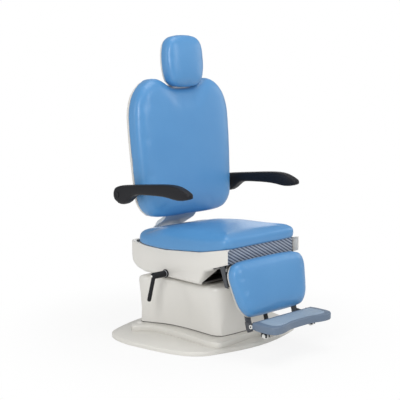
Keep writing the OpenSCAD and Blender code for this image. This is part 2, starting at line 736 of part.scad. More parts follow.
module clamp_screw() {
    color([0.8, 0.8, 0.8]) translate([-lever_elbow_x - lever_hub_r - cut, lever_y, lever_z])
        x_bar(lever_screw_r, wall + cut);
}

// The back's own frame: Z runs up its rear plane and -Y points forward
back_y = 130;
back_z = 474;
function back_point(n, s) = lean_point([back_y, back_z], recline, n, s);
module on_back() { translate([0, back_y, back_z]) rotate([-recline, 0, 0]) children(); }
back_shares = [[0, 0], [0.476, 0], [0.76, 0.021], [0.912, 0.095], [0.956, 0.185], [0.99, 0.443],
    [1, 0.667], [0.982, 0.791], [0.893, 0.897], [0.734, 0.972], [0.556, 1], [0.417, 0.989],
    [0.278, 0.954], [0.19, 0.934], [0, 0.929]];
back_line = outline(back_shares, back_x, 0, back_h);
back_centre = [0, back_h / 2];
back_roll = 30;
board_in = 22;
back_board_t = 8;
module back_cushion() {
    color([0.36, 0.6, 0.8]) on_back() translate([0, -seat_gap, 0]) rotate([90, 0, 0])
        skin(pad_rings(back_line, back_t, back_roll, back_centre));
}
module back_board() {
    color([0.55, 0.43, 0.3]) on_back() rotate([90, 0, 0]) translate([0, 0, -back_board_t])
        linear_extrude(back_board_t) polygon(inset(back_line, board_in));
}

// Dished shell behind a pad. Pairs are shares of the rim's roll and of the depth
rim_shares = [[1, 0.57], [0.3, 0.33], [0.1, 0.14], [0.15, 0]];
function dish_rings(p, depth, roll, centre, flat, d) = let (inner = inset(p, roll + d))
    concat([for (s = [[flat, 1], [(1 + flat) / 2, 0.86]]) lift(shrink(inner, centre, s.x), d - s.y * depth)],
        [for (s = rim_shares) lift(inset(p, s.x * roll + d), s.y == 0 ? (d > 0 ? cut : 0) : d - s.y * depth)]);
module dish(p, depth, roll, centre, flat) {
    rotate([90, 0, 0]) difference() {
        skin(dish_rings(p, depth, roll, centre, flat, 0));
        skin(dish_rings(p, depth, roll, centre, flat, wall));
    }
}
back_shell_roll = 20;
back_flat_share = 0.72;
arm_hinge = [165, 582];
arm_tube_r = 10;
// Height of the bracket's mouth in the shell, and share of the back's height at the post's mouth
bracket_mouth = 62;
post_mouth_share = 0.83;
web_x = 86;
web_t = 4;
flange_x = 64;
flange_plate = 6;
post_x = 18;
post_t = 8;
post_y = 12;
module back_shell() {
    color([0.86, 0.86, 0.85]) difference() {
        on_back() difference() {
            dish(back_line, back_shell_d, back_shell_roll, back_centre, back_flat_share);
            block([-web_x - cut, back_board_t - cut, -cut], [web_x + cut, back_shell_d + cut, bracket_mouth]);
            block([-post_x - cut, post_y - cut, back_h * post_mouth_share],
                [post_x + cut, post_y + post_t + cut, back_h]);
        }
        translate([-back_x, arm_hinge.x, arm_hinge.y]) x_bar(arm_tube_r + cut, 2 * back_x);
    }
}

// Bent web from the hinge to the back, stiffened by two flanges that hook down to the shaft. Pairs are
// shares of the hook's depth and height from the shaft
hook_d = 61;
hook_h = 120;
function hook(shares) = [for (s = shares) back_pivot + [s.x * hook_d, s.y * hook_h]];
web_shares = [[-0.475, 0.958], [-0.311, 0.879], [-0.082, 0.808], [0.328, 0.692], [0.721, 0.567]];
hook_shares = [[0.574, 0.62], [0.574, 0.333], [0.525, 0.196], [0.344, 0.129], [0, 0.108], [-0.115, -0.075],
    [0.246, -0.092], [0.574, -0.042], [0.869, 0.092], [1, 0.325], [0.918, 0.667], [0.705, 0.792], [0.246, 0.925]];
web_face = back_board_t + seat_gap;
web_foot = -2;
web_top = 220;
flange_top = 160;
// How far the flanges stand out behind the back's rear plane, and the heights between
flange_out = [30, 34, 34, 28];
flange_up = [8, 100, 150, 160];
web_start = [back_point(-web_face, web_top), back_point(-web_face, web_foot)];
web_line = concat(web_start, hook(web_shares));
flange_line = concat([back_point(-web_face, flange_top), web_start[1]],
    hook([for (i = [0 : len(web_shares) - 2]) web_shares[i]]), hook(hook_shares),
    [for (i = [0 : len(flange_out) - 1]) back_point(-flange_out[i], flange_up[i])]);
// Open line thickened to its left by t
function thick(p, t) = let (n = len(p)) concat(p, [for (i = [n - 1 : -1 : 0])
    let (d = p[min(i + 1, n - 1)] - p[max(i - 1, 0)]) p[i] + t * [-d.y, d.x] / norm(d)]);
module back_bracket() {
    color([0.47, 0.52, 0.57]) difference() {
        union() {
            side_plate(thick(web_line, web_t), -web_x, 2 * web_x);
            both_sides() {
                side_plate(flange_line, flange_x - flange_plate, flange_plate);
                translate([flange_x - flange_plate, back_pivot.x, back_pivot.y]) x_bar(crank_hub, flange_plate);
            }
        }
        for (p = [[back_pivot, hinge_r], [arm_hinge, arm_tube_r]])
            translate([-2 * flange_x, p[0].x, p[0].y]) x_bar(p[1] + fit, 4 * flange_x);
    }
}

arm_pin_r = 8;
module arm_tube() {
    color([0.25, 0.25, 0.27]) {
        translate([seat_gap - arm_gap / 2, arm_hinge.x, arm_hinge.y]) x_bar(arm_tube_r, arm_gap - 2 * seat_gap);
        translate([-arm_gap / 2 - arm_w + wall, arm_hinge.x, arm_hinge.y])
            x_bar(arm_pin_r, arm_gap + 2 * arm_w - 2 * wall);
    }
}

// Arm rest: stations from the rear as shares of its length, its foot, its top and its width
arm_len = 442;
arm_rear = 196;
arm_low = 542;
arm_h = 108;
arm_shares = [[0, 0.306, 0.537, 0.6], [0.025, 0.176, 0.639, 0.88], [0.07, 0.02, 0.71, 1],
    [0.127, 0.009, 0.75, 1], [0.183, 0.093, 0.778, 1], [0.251, 0.361, 0.806, 1], [0.308, 0.463, 0.833, 1],
    [0.443, 0.5, 0.889, 0.98], [0.636, 0.537, 0.972, 0.95], [0.749, 0.519, 1, 0.95], [0.851, 0.444, 0.981, 0.93],
    [0.953, 0.528, 0.815, 0.8], [1, 0.602, 0.722, 0.5]];
soft_power = 0.45;
ring_points = 16;
function soft(v) = sign(v) * pow(abs(v), soft_power);
module arm() {
    middle = (arm_gap + arm_w) / 2;
    color([0.13, 0.13, 0.14]) difference() {
        union() {
            rotate([90, 0, 0]) skin([for (s = arm_shares) [for (i = [0 : ring_points - 1])
                let (a = 360 * i / ring_points)
                [middle + soft(cos(a)) * s[3] * arm_w / 2,
                    arm_low + arm_h * ((s[1] + s[2]) / 2 + soft(sin(a)) * (s[2] - s[1]) / 2),
                    s[0] * arm_len - arm_rear]]]);
            translate([arm_gap / 2, arm_hinge.x, arm_hinge.y]) x_bar(crank_hub * 2, arm_w);
        }
        translate([arm_gap / 2 - cut, arm_hinge.x, arm_hinge.y])
            x_bar(arm_pin_r + fit, arm_w - wall + cut + seat_gap);
    }
}
module arm_right() { arm(); }
module arm_left() { mirror([1, 0, 0]) arm(); }

// Head rest
dip_share = 0.929;
head_gap = 7;
head_out = 37;
head_lean = 5;
head_at = back_point(head_out, back_h * dip_share + head_gap);
module on_head() { translate([0, head_at.x, head_at.y]) rotate([-head_lean, 0, 0]) children(); }
head_shares = [[0, 0], [0.515, 0.01], [0.845, 0.108], [0.99, 0.343], [1, 0.613], [0.907, 0.833], [0.619, 0.966],
    [0, 1]];
head_line = outline(head_shares, head_x, 0, head_h);
head_roll = 27;
head_centre = [0, head_h / 2];
head_board_t = 8;
pin_n = 8;
head_pin_up = 102;
pin_s = back_h * dip_share + head_pin_up;
head_pin_at = back_point(pin_n, pin_s);
knuckle_r = 12;
knuckle_x = 9;
ear_x = 15;
ear_reach_share = 1.4;
module head_pad() {
    color([0.37, 0.6, 0.8]) on_head() translate([0, -seat_gap, 0]) rotate([90, 0, 0])
        skin(pad_rings(head_line, head_t, head_roll, head_centre));
}
module head_board() {
    to_pin = head_pin_at.x - head_at.x;
    color([0.86, 0.86, 0.85]) difference() {
        union() {
            on_head() rotate([90, 0, 0]) translate([0, 0, -head_board_t])
                linear_extrude(head_board_t) polygon(inset(head_line, head_board_t / 2));
            both_sides() hull() {
                for (y = [0, knuckle_r * ear_reach_share])
                    translate([knuckle_x + seat_gap, head_pin_at.x - y, head_pin_at.y])
                        x_bar(knuckle_r, ear_x - knuckle_x - seat_gap);
            }
        }
        translate([-head_x, head_pin_at.x, head_pin_at.y]) x_bar(pin_r + fit, 2 * head_x);
    }
}
module head_pin() {
    color([0.7, 0.71, 0.73]) translate([-ear_x, head_pin_at.x, head_pin_at.y]) x_bar(pin_r, 2 * ear_x);
}
post_low = 345;
module head_post() {
    color([0.7, 0.71, 0.73]) difference() {
        union() {
            on_back() block([-post_x, post_y, post_low], [post_x, post_y + post_t, pin_s + knuckle_x]);
            on_back() block([-knuckle_x, -pin_n, pin_s - knuckle_x],
                [knuckle_x, post_y + cut, pin_s + knuckle_x]);
            translate([-knuckle_x, head_pin_at.x, head_pin_at.y]) x_bar(knuckle_r, 2 * knuckle_x);
        }
        translate([-head_x, head_pin_at.x, head_pin_at.y]) x_bar(pin_r + fit, 2 * head_x);
    }
}
guide_low = 335;
guide_h = 130;
guide_wall = 8;
module head_guide() {
    color([0.3, 0.31, 0.33]) on_back() difference() {
        block([-post_x - guide_wall, back_board_t, guide_low],
            [post_x + guide_wall, post_y + post_t + wall, guide_low + guide_h]);
        block([-post_x - seat_gap, post_y - seat_gap, guide_low - cut],
            [post_x + seat_gap, post_y + post_t + seat_gap, guide_low + guide_h + cut]);
    }
}

// The leg rest's own frame: Z runs up its rear plane and -Y points forward
leg_y = -380;
leg_z = 148;
function leg_point(n, s) = lean_point([leg_y, leg_z], leg_lean, n, s);
module on_leg() { translate([0, leg_y, leg_z]) rotate([-leg_lean, 0, 0]) children(); }
leg_shares = [[0, 0], [0.585, 0], [0.756, 0.056], [0.893, 0.231], [0.971, 0.556], [1, 0.764], [0.937, 0.903],
    [0.756, 0.986], [0, 1]];
leg_line = outline(leg_shares, leg_x, 0, leg_h);
leg_centre = [0, leg_h / 2];
leg_roll = 22;
leg_board_t = 3;
leg_shell_d = 16;
leg_shell_roll = 10;
leg_flat_share = 0.9;
bar_x = 133;
bar_half = 12.5;
bar_t = 8;
bar_top = 190;
bar_low = -53;
bar_mouth = 44;
module leg_pad() {
    color([0.38, 0.6, 0.8]) on_leg() translate([0, -seat_gap, 0]) rotate([90, 0, 0])
        skin(pad_rings(leg_line, leg_t, leg_roll, leg_centre));
}
module leg_board() {
    color([0.35, 0.36, 0.38]) on_leg() rotate([90, 0, 0]) translate([0, 0, -leg_board_t])
        linear_extrude(leg_board_t) polygon(inset(leg_line, leg_shell_roll));
}
module leg_shell() {
    color([0.84, 0.84, 0.82]) on_leg() difference() {
        dish(leg_line, leg_shell_d, leg_shell_roll, leg_centre, leg_flat_share);
        for (x = [-bar_x, bar_x]) block([x - bar_half - cut, leg_board_t - cut / 2, -wall],
            [x + bar_half + cut, leg_shell_d + cut, bar_mouth]);
    }
}

arm_foot_x = 150;
arm_foot_low = 130;
arm_foot_top = 180;
arm_web = 18;
leg_arm_line = [leg_pivot - [crank_hub - cut, bolt_r], leg_point(-leg_shell_d, arm_foot_top + 2 * bolt_r),
    leg_point(-leg_shell_d, arm_foot_low - bolt_r), leg_point(wall - leg_shell_d - arm_web, arm_foot_low),
    leg_point(-leg_shell_d - arm_web, arm_foot_top), leg_pivot + [crank_hub - cut, -bolt_r]];
module leg_arms() {
    color([0.35, 0.36, 0.38]) both_sides() difference() {
        union() {
            side_plate(leg_arm_line, arm_plate_x, side_t);
            translate([arm_plate_x, leg_pivot.x, leg_pivot.y]) x_bar(crank_hub, side_t);
            on_leg() block([arm_foot_x, leg_shell_d, arm_foot_low],
                [arm_plate_x + side_t, leg_shell_d + bolt_r, arm_foot_top]);
        }
        translate([0, leg_pivot.x, leg_pivot.y]) x_bar(hinge_r + fit, 2 * arm_plate_x);
    }
}

bumper_half = 9;
bumper_out = 36;
bumper_low = -35;
bumper_top = 60;
module leg_bumper() {
    color([0.14, 0.14, 0.15]) on_leg() {
        block([-bumper_half, bumper_out, bumper_low], [bumper_half, bumper_out + bar_t, bumper_top]);
        block([-bumper_half, leg_shell_d, bumper_top / 2], [bumper_half, bumper_out, bumper_top]);
    }
}

// The foot plate hangs from two flat bars that slide in the leg rest
foot_hinge_out = 31;
foot_hinge_drop = 24;
foot_pivot = [leg_y - foot_hinge_out, leg_z - foot_hinge_drop];
foot_pin_r = 4;
foot_ear_r = 9;
lug_t = 4;
bar_lip = leg_board_t + seat_gap;
// Each bar's lug spans these heights below the leg rest, within the bar's thickness
lug_up = 12;
lug_down = 45;
bar_lug = [[cut, -lug_up], [bar_t - cut, -lug_up], [bar_t - cut, -lug_down], [cut, -lug_down]];
module foot_bars() {
    color([0.16, 0.16, 0.16]) both_sides() difference() {
        union() {
            on_leg() block([bar_x - bar_half, bar_lip, bar_low], [bar_x + bar_half, bar_lip + bar_t, bar_top]);
            translate([bar_x + bar_half - cut, 0, 0]) rotate([90, 0, 90]) linear_extrude(lug_t + cut) hull() {
                translate(foot_pivot) circle(r = foot_ear_r);
                polygon([for (s = bar_lug) leg_point(-bar_lip - s.x, s.y)]);
            }
        }
        translate([0, foot_pivot.x, foot_pivot.y]) x_bar(foot_pin_r + fit, 2 * bar_x);
    }
}

foot_rear = -430;
foot_low = leg_z - foot_t;
foot_edge = 4;
foot_shares = [[0, 0.16], [0.35, 0.14], [0.58, 0.04], [0.78, 0], [0.92, 0.05], [0.99, 0.22], [1, 0.5],
    [0.99, 0.78], [0.955, 0.95], [0.88, 1], [0, 1]];
foot_line = outline(foot_shares, foot_x, foot_rear - foot_d, foot_d);
tread_in = 15;
tread_deep = 2;
tread_x_share = 0.85;
tread_line = outline(foot_shares, foot_x * tread_x_share, foot_rear - foot_d + tread_in, foot_d - 2 * tread_in);
ear_start = bar_x + bar_half + lug_t + seat_gap;
module foot_plate() {
    recess = inset(tread_line, -seat_gap);
    color([0.43, 0.51, 0.6]) skin([lift(inset(foot_line, foot_edge / 2), foot_low),
        lift(foot_line, foot_low + foot_edge), lift(foot_line, leg_z - foot_edge),
        lift(inset(foot_line, foot_edge / 3), leg_z - foot_edge / 3), lift(inset(foot_line, foot_edge), leg_z),
        lift(recess, leg_z), lift(recess, leg_z - tread_deep)]);
}

groove_w = 2;
groove_pitch = 8;
module foot_tread() {
    color([0.57, 0.65, 0.73]) difference() {
        translate([0, 0, leg_z - tread_deep]) linear_extrude(tread_deep + cut) polygon(tread_line);
        for (y = [foot_rear - foot_d + 2 * tread_in : groove_pitch : foot_rear - tread_in])
            block([-foot_x, y, leg_z], [foot_x, y + groove_w, leg_z + 2 * cut]);
    }
}

// A small roller under each side of the foot plate, on a dark fork
roller_out = 84;
roller_drop = 51;
roller_at = [leg_y - roller_out, leg_z - roller_drop];
roller_r = 12;
roller_half = 5.7;
fork_t = 3;
fork_deep = 28;
fork_low = 92;
axle_r = 3.5;
module foot_forks() {
    color([0.14, 0.14, 0.15]) both_sides() difference() {
        translate([ear_start, 0, 0]) rotate([90, 0, 90]) linear_extrude(lug_t) hull() {
            translate(foot_pivot) circle(r = foot_ear_r);
            translate([foot_rear, foot_low + foot_edge]) square([foot_ear_r, foot_t - 2 * foot_edge]);
        }
        translate([0, foot_pivot.x, foot_pivot.y]) x_bar(foot_pin_r + fit, foot_x);
    }
    color([0.14, 0.14, 0.15]) for (x = [-bar_x, bar_x]) {
        for (side = [-1, 1]) block([x + side * (roller_half + seat_gap) - (side < 0 ? fork_t : 0),
            roller_at.x - fork_deep / 2, fork_low], [x + side * (roller_half + seat_gap) + (side > 0 ? fork_t : 0),
            roller_at.x + fork_deep / 2, foot_low]);
        translate([x - roller_half - seat_gap - cut, roller_at.x, roller_at.y])
            x_bar(axle_r, 2 * (roller_half + seat_gap + cut));
    }
}
module foot_rollers() {
    color([0.85, 0.85, 0.84]) for (x = [-bar_x, bar_x])
        translate([x - roller_half, roller_at.x, roller_at.y]) rotate([0, 90, 0])
            tube(roller_r, axle_r + fit, 2 * roller_half);
}
module foot_bushes() {
    color([0.85, 0.85, 0.84]) both_sides() {
        translate([bar_x + bar_half, foot_pivot.x, foot_pivot.y]) x_bar(foot_pin_r, 2 * lug_t + seat_gap + cut);
        translate([ear_start + lug_t, foot_pivot.x, foot_pivot.y]) x_bar(2 * foot_pin_r, lug_t);
    }
}

base_frame();
base_plate();
plinth();
lower_cover();
column_outer();
column_bolts();
column_bush();
lift_actuator();
column_inner();
lift_rod();
swivel_drum();
lower_race();
swivel_nut();
inner_skirt();
seat_frame();
upper_race();
seat_board();
seat_cushion();
seat_shell();
shell_brackets();
front_apron();
brake_block();
hinge_bushes();
back_actuator();
leg_actuator();
clamp_lever();
clamp_shaft();
clamp_screw();
back_rod();
leg_rod();
back_shaft();
back_crank();
back_bracket();
back_board();
back_shell();
back_cushion();
arm_tube();
head_guide();
arm_left();
arm_right();
head_post();
head_pin();
head_board();
head_pad();
leg_shaft();
leg_arms();
leg_crank();
leg_board();
leg_shell();
leg_pad();
leg_bumper();
foot_bars();
foot_plate();
foot_tread();
foot_forks();
foot_rollers();
foot_bushes();
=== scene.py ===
"""The looks of an ear, nose and throat examination chair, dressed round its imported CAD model.

Lengths are in metres in the CAD frame: +Z up, the seated person faces -Y, the floor is z = 0.
"""

import json
from math import cos, radians, sin

import bpy
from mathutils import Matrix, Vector
from mathutils.bvhtree import BVHTree


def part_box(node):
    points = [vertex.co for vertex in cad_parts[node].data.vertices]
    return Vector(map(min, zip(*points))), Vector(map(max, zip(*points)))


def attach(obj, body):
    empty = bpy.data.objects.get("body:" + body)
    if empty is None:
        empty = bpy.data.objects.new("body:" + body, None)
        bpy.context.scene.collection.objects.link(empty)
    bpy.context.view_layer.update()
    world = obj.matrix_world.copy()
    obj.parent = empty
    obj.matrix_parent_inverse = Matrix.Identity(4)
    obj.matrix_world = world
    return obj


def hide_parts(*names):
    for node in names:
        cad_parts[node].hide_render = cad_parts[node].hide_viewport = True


MM = 0.001
FLAT = radians(0.4)
QUAD_FACE = radians(40)
QUAD_SHAPE = radians(60)
MERGED_WITHIN = 0.02 * MM

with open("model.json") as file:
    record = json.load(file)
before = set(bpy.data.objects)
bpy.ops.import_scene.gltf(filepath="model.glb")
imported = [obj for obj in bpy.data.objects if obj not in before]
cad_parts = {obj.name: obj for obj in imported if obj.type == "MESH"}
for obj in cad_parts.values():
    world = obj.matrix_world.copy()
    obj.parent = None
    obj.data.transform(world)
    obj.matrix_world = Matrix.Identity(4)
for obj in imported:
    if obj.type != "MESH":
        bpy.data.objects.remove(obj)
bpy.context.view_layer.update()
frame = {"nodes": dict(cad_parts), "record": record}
SLOT_OF = {row["node"]: row["material_slot"] for row in frame["record"]["subparts"]}
BODY_OF = {node: body for body, nodes in frame["record"]["behaviour"]["bodies"].items() for node in nodes}


# Finishes

def srgb(red, green, blue):
    """A colour as it is seen, written 0 to 255, in the linear values that the shader wants."""
    shares = (red / 255, green / 255, blue / 255)
    return tuple(c / 12.92 if c <= 0.04045 else ((c + 0.055) / 1.055) ** 2.4 for c in shares) + (1.0,)


class Wire:
    """One output socket of a finish. Python's operators on it add Math nodes."""

    def __init__(self, finish, socket):
        self.finish, self.socket = finish, socket

    def _math(self, operation, *values):
        return self.finish.node("Math", {"operation": operation}, values)

    def __add__(self, other):
        return self._math("ADD", self, other)

    def __radd__(self, other):
        return self._math("ADD", other, self)

    def __sub__(self, other):
        return self._math("SUBTRACT", self, other)

    def __rsub__(self, other):
        return self._math("SUBTRACT", other, self)

    def __mul__(self, other):
        return self._math("MULTIPLY", self, other)

    def __rmul__(self, other):
        return self._math("MULTIPLY", other, self)

    def __pow__(self, other):
        return self._math("POWER", self, other)


class Finish:
    """A material under one name, with its principled shader and the object's own coordinates."""

    def __init__(self, name):
        self.material = bpy.data.materials.new(name)
        self.material.use_nodes = True
        self.tree = self.material.node_tree
        self.shader = self.tree.nodes["Principled BSDF"]
        self.place = self.node("TexCoord", out="Object")

    def node(self, kind, settings=None, values=(), out=0):
        """A node of that kind. Its settings go first; values are its inputs in order, or by name."""
        made = self.tree.nodes.new("ShaderNode" + kind)
        for key, value in (settings or {}).items():
            setattr(made, key, value)
        pairs = values.items() if isinstance(values, dict) else enumerate(values)
        for key, value in pairs:
            self.feed(made.inputs[key], value)
        return Wire(self, made.outputs[out])

    def feed(self, socket, value):
        """Links a wire to the socket, or sets a plain value on it."""
        if isinstance(value, Wire):
            self.tree.links.new(value.socket, socket)
        else:
            socket.default_value = value

    def set(self, **values):
        """Sets or links the shader's own sockets; an underscore stands for a space."""
        for key, value in values.items():
            self.feed(self.shader.inputs[key.replace("_", " ")], value)

    def along(self, axis, low, high):
        """0 up to the one place on an axis, 1 past the other, and smooth between."""
        at = self.node("SeparateXYZ", values=[self.place], out=axis)
        return self.node("MapRange", {"interpolation_type": "SMOOTHSTEP"}, (at, low, high, 0.0, 1.0))

    def noise(self, scale, detail=2.0, stretch=None):
        """Soft noise of so many waves to the metre, stretched along the axes if asked."""
        at = self.place if stretch is None else self.node("Mapping", values={0: self.place, 3: stretch})
        return self.node("TexNoise", values={"Vector": at, "Scale": scale, "Detail": detail})

    def cells(self, scale):
        """A grain of rounded cells, so many to the metre."""
        return self.node("TexVoronoi", values={"Vector": self.place, "Scale": scale})

    def blend(self, share, first, second):
        """From the first colour at 0 to the second at 1."""
        return self.node("Mix", {"data_type": "RGBA"}, {0: share, 6: first, 7: second}, out=2)

    def bump(self, height, depth, strength, under=None):
        """A relief of that depth in metres, over another relief if there is one."""
        values = {"Strength": strength, "Distance": depth, "Height": height}
        if under is not None:
            values["Normal"] = under
        return self.node("Bump", values=values, out="Normal")


def upholstery():
    """Blue vinyl: a fine pebble grain, soft tonal drift and a satin face."""
    f = Finish("blue_upholstery_vinyl")
    drift = f.noise(5.0, 3.0)
    grain = f.cells(620.0)
    pebble = f.noise(1500.0)
    face = f.blend(drift, srgb(74, 136, 190), srgb(88, 148, 200))
    swelling = f.bump(f.noise(26.0), 0.0012, 0.22)
    f.set(
        Base_Color=f.blend((grain ** 2.0) * 0.16, face, srgb(60, 112, 163)),
        Roughness=0.3 + drift * 0.08 + grain * 0.05,
        Coat_Weight=0.22,
        Coat_Roughness=0.22,
        Specular_IOR_Level=0.5,
        Normal=f.bump(1.0 - grain * 0.7 - pebble * 0.3, 0.00022, 0.5, swelling),
    )
    return f.material


def moulded_plastic(name, light, dark, rough, dust=0.3, shade_painted_by=None):
    """Moulded housing: a faint orange peel, soft tonal clouds and a satin gloss.

    A function, if given, returns the share of painted shade over the surface: the shadow inside a shell or
    in a gap.
    """
    f = Finish(name)
    cloud = f.noise(4.0, 4.0)
    peel = f.noise(420.0)
    scuff = f.noise(60.0, 6.0, (1.0, 1.0, 0.2))
    face = f.blend(cloud * dust, light, dark)
    if shade_painted_by:
        # Painted shade: the dark colour laid where a shadow falls inside a shell or in a gap
        face = f.blend(shade_painted_by(f), face, PAINTED_SHADE_COLOUR)
    f.set(
        Base_Color=face,
        Roughness=rough + scuff * 0.09,
        Coat_Weight=0.25,
        Coat_Roughness=0.12,
        Normal=f.bump(peel, 0.00012, 0.35, f.bump(f.noise(9.0, 1.0), 0.0009, 0.12)),
    )
    return f.material


def grained_black(name, colour, edge, rough):
    """Black self-skinning foam or plastic with a leather-like grain."""
    f = Finish(name)
    grain = f.cells(520.0)
    wear = f.noise(16.0, 5.0)
    f.set(
        Base_Color=f.blend(wear * 0.5 * grain, colour, edge),
        Roughness=rough + wear * 0.12,
        Specular_IOR_Level=0.3,
        Normal=f.bump(1.0 - grain, 0.00025, 0.5, f.bump(wear, 0.0006, 0.15)),
    )
    return f.material


def satin_paint(name, colour, shade, rough, painted_groove_shade=None):
    """Powder coat: fine pimples, faint flake and slightly darker patches.

    The depths of the crests and the grooves of a ribbed face, when given, set where the grooves get painted
    shade.
    """
    f = Finish(name)
    patch = f.noise(7.0, 3.0)
    pimple = f.noise(900.0)
    flake = f.cells(1400.0)
    face = f.blend(patch * 0.5 + flake * 0.12, colour, shade)
    if painted_groove_shade:
        # Painted shade: the grooves between the ribs darker than their crests
        face = f.blend(f.along("Y", *painted_groove_shade), face, srgb(92, 103, 126))
    f.set(
        Base_Color=face,
        Roughness=rough + pimple * 0.08,
        Normal=f.bump(pimple, 0.00015, 0.4),
    )
    return f.material


def brushed_steel():
    """Bright steel with fine drawn lines along the axis of the bars and rods."""
    f = Finish("bright_drawn_steel")
    lines = f.noise(140.0, 6.0, (12.0, 0.6, 12.0))
    patch = f.noise(9.0, 3.0)
    f.set(
        Base_Color=f.blend(lines * 0.4 + patch * 0.2, srgb(205, 207, 210), srgb(150, 153, 158)),
        Metallic=1.0,
        Roughness=0.2 + lines * 0.16,
        Normal=f.bump(lines, 0.00008, 0.35),
    )
    return f.material


def plywood():
    """Birch ply of the upholstery boards: grain along Y and darker glue lines."""
    f = Finish("birch_plywood")
    grain = f.noise(22.0, 8.0, (9.0, 0.7, 9.0))
    bands = {"wave_type": "BANDS", "bands_direction": "Z"}
    plies = f.node("TexWave", bands, {"Vector": f.place, "Scale": 95.0, "Distortion": 0.4})
    face = f.blend(grain, srgb(196, 164, 120), srgb(157, 120, 80))
    f.set(
        Base_Color=f.blend(plies * 0.25, face, srgb(120, 88, 58)),
        Roughness=0.62 + grain * 0.15,
        Normal=f.bump(grain, 0.0004, 0.4),
    )
    return f.material


WHITE = (srgb(220, 218, 213), srgb(208, 205, 198))
# The colour of painted shade, inside the seat shell and in the gap at the cover's foot
PAINTED_SHADE_COLOUR = srgb(50, 48, 45)
# Depths of the apron's rib crests and grooves, between which the grooves get painted shade
RIB_GROOVE_SHADE_DEPTHS = (-0.3125, -0.3098)
COVER_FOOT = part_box("lower_cover")[0][2]
# Heights over which the painted shadow of the gap at the cover's foot fades out
GAP_SHADOW_FADE = (COVER_FOOT + 1.8 * MM, COVER_FOOT + 3.2 * MM)
# Heights and depths where the painted shade inside the seat shell fades out
INNER_SHADE_RIM_FADE = (0.352, 0.358)
INNER_SHADE_FRONT_FADE = (-0.304, -0.301)


def painted_gap_shadow(finish):
    """Painted shadow of the gap where the cover stands on the plinth: a dark line at the cover's foot."""
    return 1.0 - finish.along("Z", *GAP_SHADOW_FADE)


def painted_inner_shade(finish):
    """Painted shade on the faces that a shell turns inwards, short of its rim and its front ends, where
    shadow falls inside it.
    """
    painted_faces = finish.node("Attribute", {"attribute_name": "painted_shade_share"}, out="Fac")
    below_rim = 1.0 - finish.along("Z", *INNER_SHADE_RIM_FADE)
    return painted_faces * below_rim * finish.along("Y", *INNER_SHADE_FRONT_FADE)


# The cover's finish has a painted shadow of the gap at its foot
COVER_FINISH = moulded_plastic("white_moulded_cover", *WHITE, 0.3, shade_painted_by=painted_gap_shadow)
# The seat shell's finish paints shade on its inner faces
SHELL_FINISH_WITH_PAINTED_SHADE = moulded_plastic("white_shell_with_painted_inner_shade", *WHITE, 0.3, shade_painted_by=painted_inner_shade)
FINISHES = {
    "white_gloss": moulded_plastic("white_moulded_shell", *WHITE, 0.3),
    "base_gloss": moulded_plastic(
        "white_moulded_floor_plate", srgb(220, 218, 212), srgb(206, 203, 195), 0.34, dust=0.45),
    "frame_steel": satin_paint("dark_powder_coat", srgb(74, 77, 82), srgb(56, 58, 62), 0.42),
    "bright_steel": brushed_steel(),
    "blue_vinyl": upholstery(),
    "board_wood": plywood(),
    "black_plastic": grained_black("black_grained_foam", srgb(14, 15, 20), srgb(28, 29, 38), 0.42),
    # The slate apron's grooves get painted shade
    "ribbed_grey": satin_paint(
        "slate_ribbed_plastic", srgb(168, 177, 190), srgb(150, 159, 174), 0.4, painted_groove_shade=RIB_GROOVE_SHADE_DEPTHS),
    "bracket_grey": satin_paint("silver_grey_paint", srgb(216, 224, 231), srgb(196, 206, 216), 0.34),
    "foot_grey": satin_paint("blue_grey_foot_moulding", srgb(104, 121, 142), srgb(90, 106, 126), 0.4),
    "tread_grey": satin_paint("pale_blue_grey_tread", srgb(150, 169, 188), srgb(134, 153, 172), 0.5),
    "small_white": moulded_plastic("white_nylon", srgb(226, 226, 222), srgb(208, 208, 202), 0.34),
}


def dress(piece, slot_name, finish=None):
    """Gives a piece the finish of a slot of the record, or its own."""
    piece.data.materials.clear()
    piece.data.materials.append(finish or FINISHES[slot_name])
    return piece


# The workbench

def select_only(piece):
    """Makes the piece the one that operators act on."""
    bpy.ops.object.select_all(action="DESELECT")
    piece.select_set(True)
    bpy.context.view_layer.objects.active = piece


def in_edit(step, **settings):
    """Runs one edit-mode operator on all of the active piece."""
    bpy.ops.object.mode_set(mode="EDIT")
    bpy.ops.mesh.select_all(action="SELECT")
    step(**settings)
    bpy.ops.object.mode_set(mode="OBJECT")


def settle(piece):
    """Puts the piece's place into its mesh, so that its object sits at the origin."""
    select_only(piece)
    bpy.ops.object.transform_apply(location=True, rotation=True, scale=True)
    return piece


def add_modifier(piece, kind, **settings):
    """Adds a modifier with its settings and applies it."""
    select_only(piece)
    made = piece.modifiers.new(kind.title(), kind)
    for key, value in settings.items():
        setattr(made, key, value)
    bpy.ops.object.modifier_apply(modifier=made.name)


def merged_copy(node, name):
    """A copy of a CAD node's mesh with its loose triangles merged."""
    source = frame["nodes"][node]
    piece = bpy.data.objects.new(name, source.data.copy())
    bpy.context.scene.collection.objects.link(piece)
    select_only(piece)
    if piece.data.has_custom_normals:
        bpy.ops.mesh.customdata_custom_splitnormals_clear()
    in_edit(bpy.ops.mesh.remove_doubles, threshold=MERGED_WITHIN)
    return piece


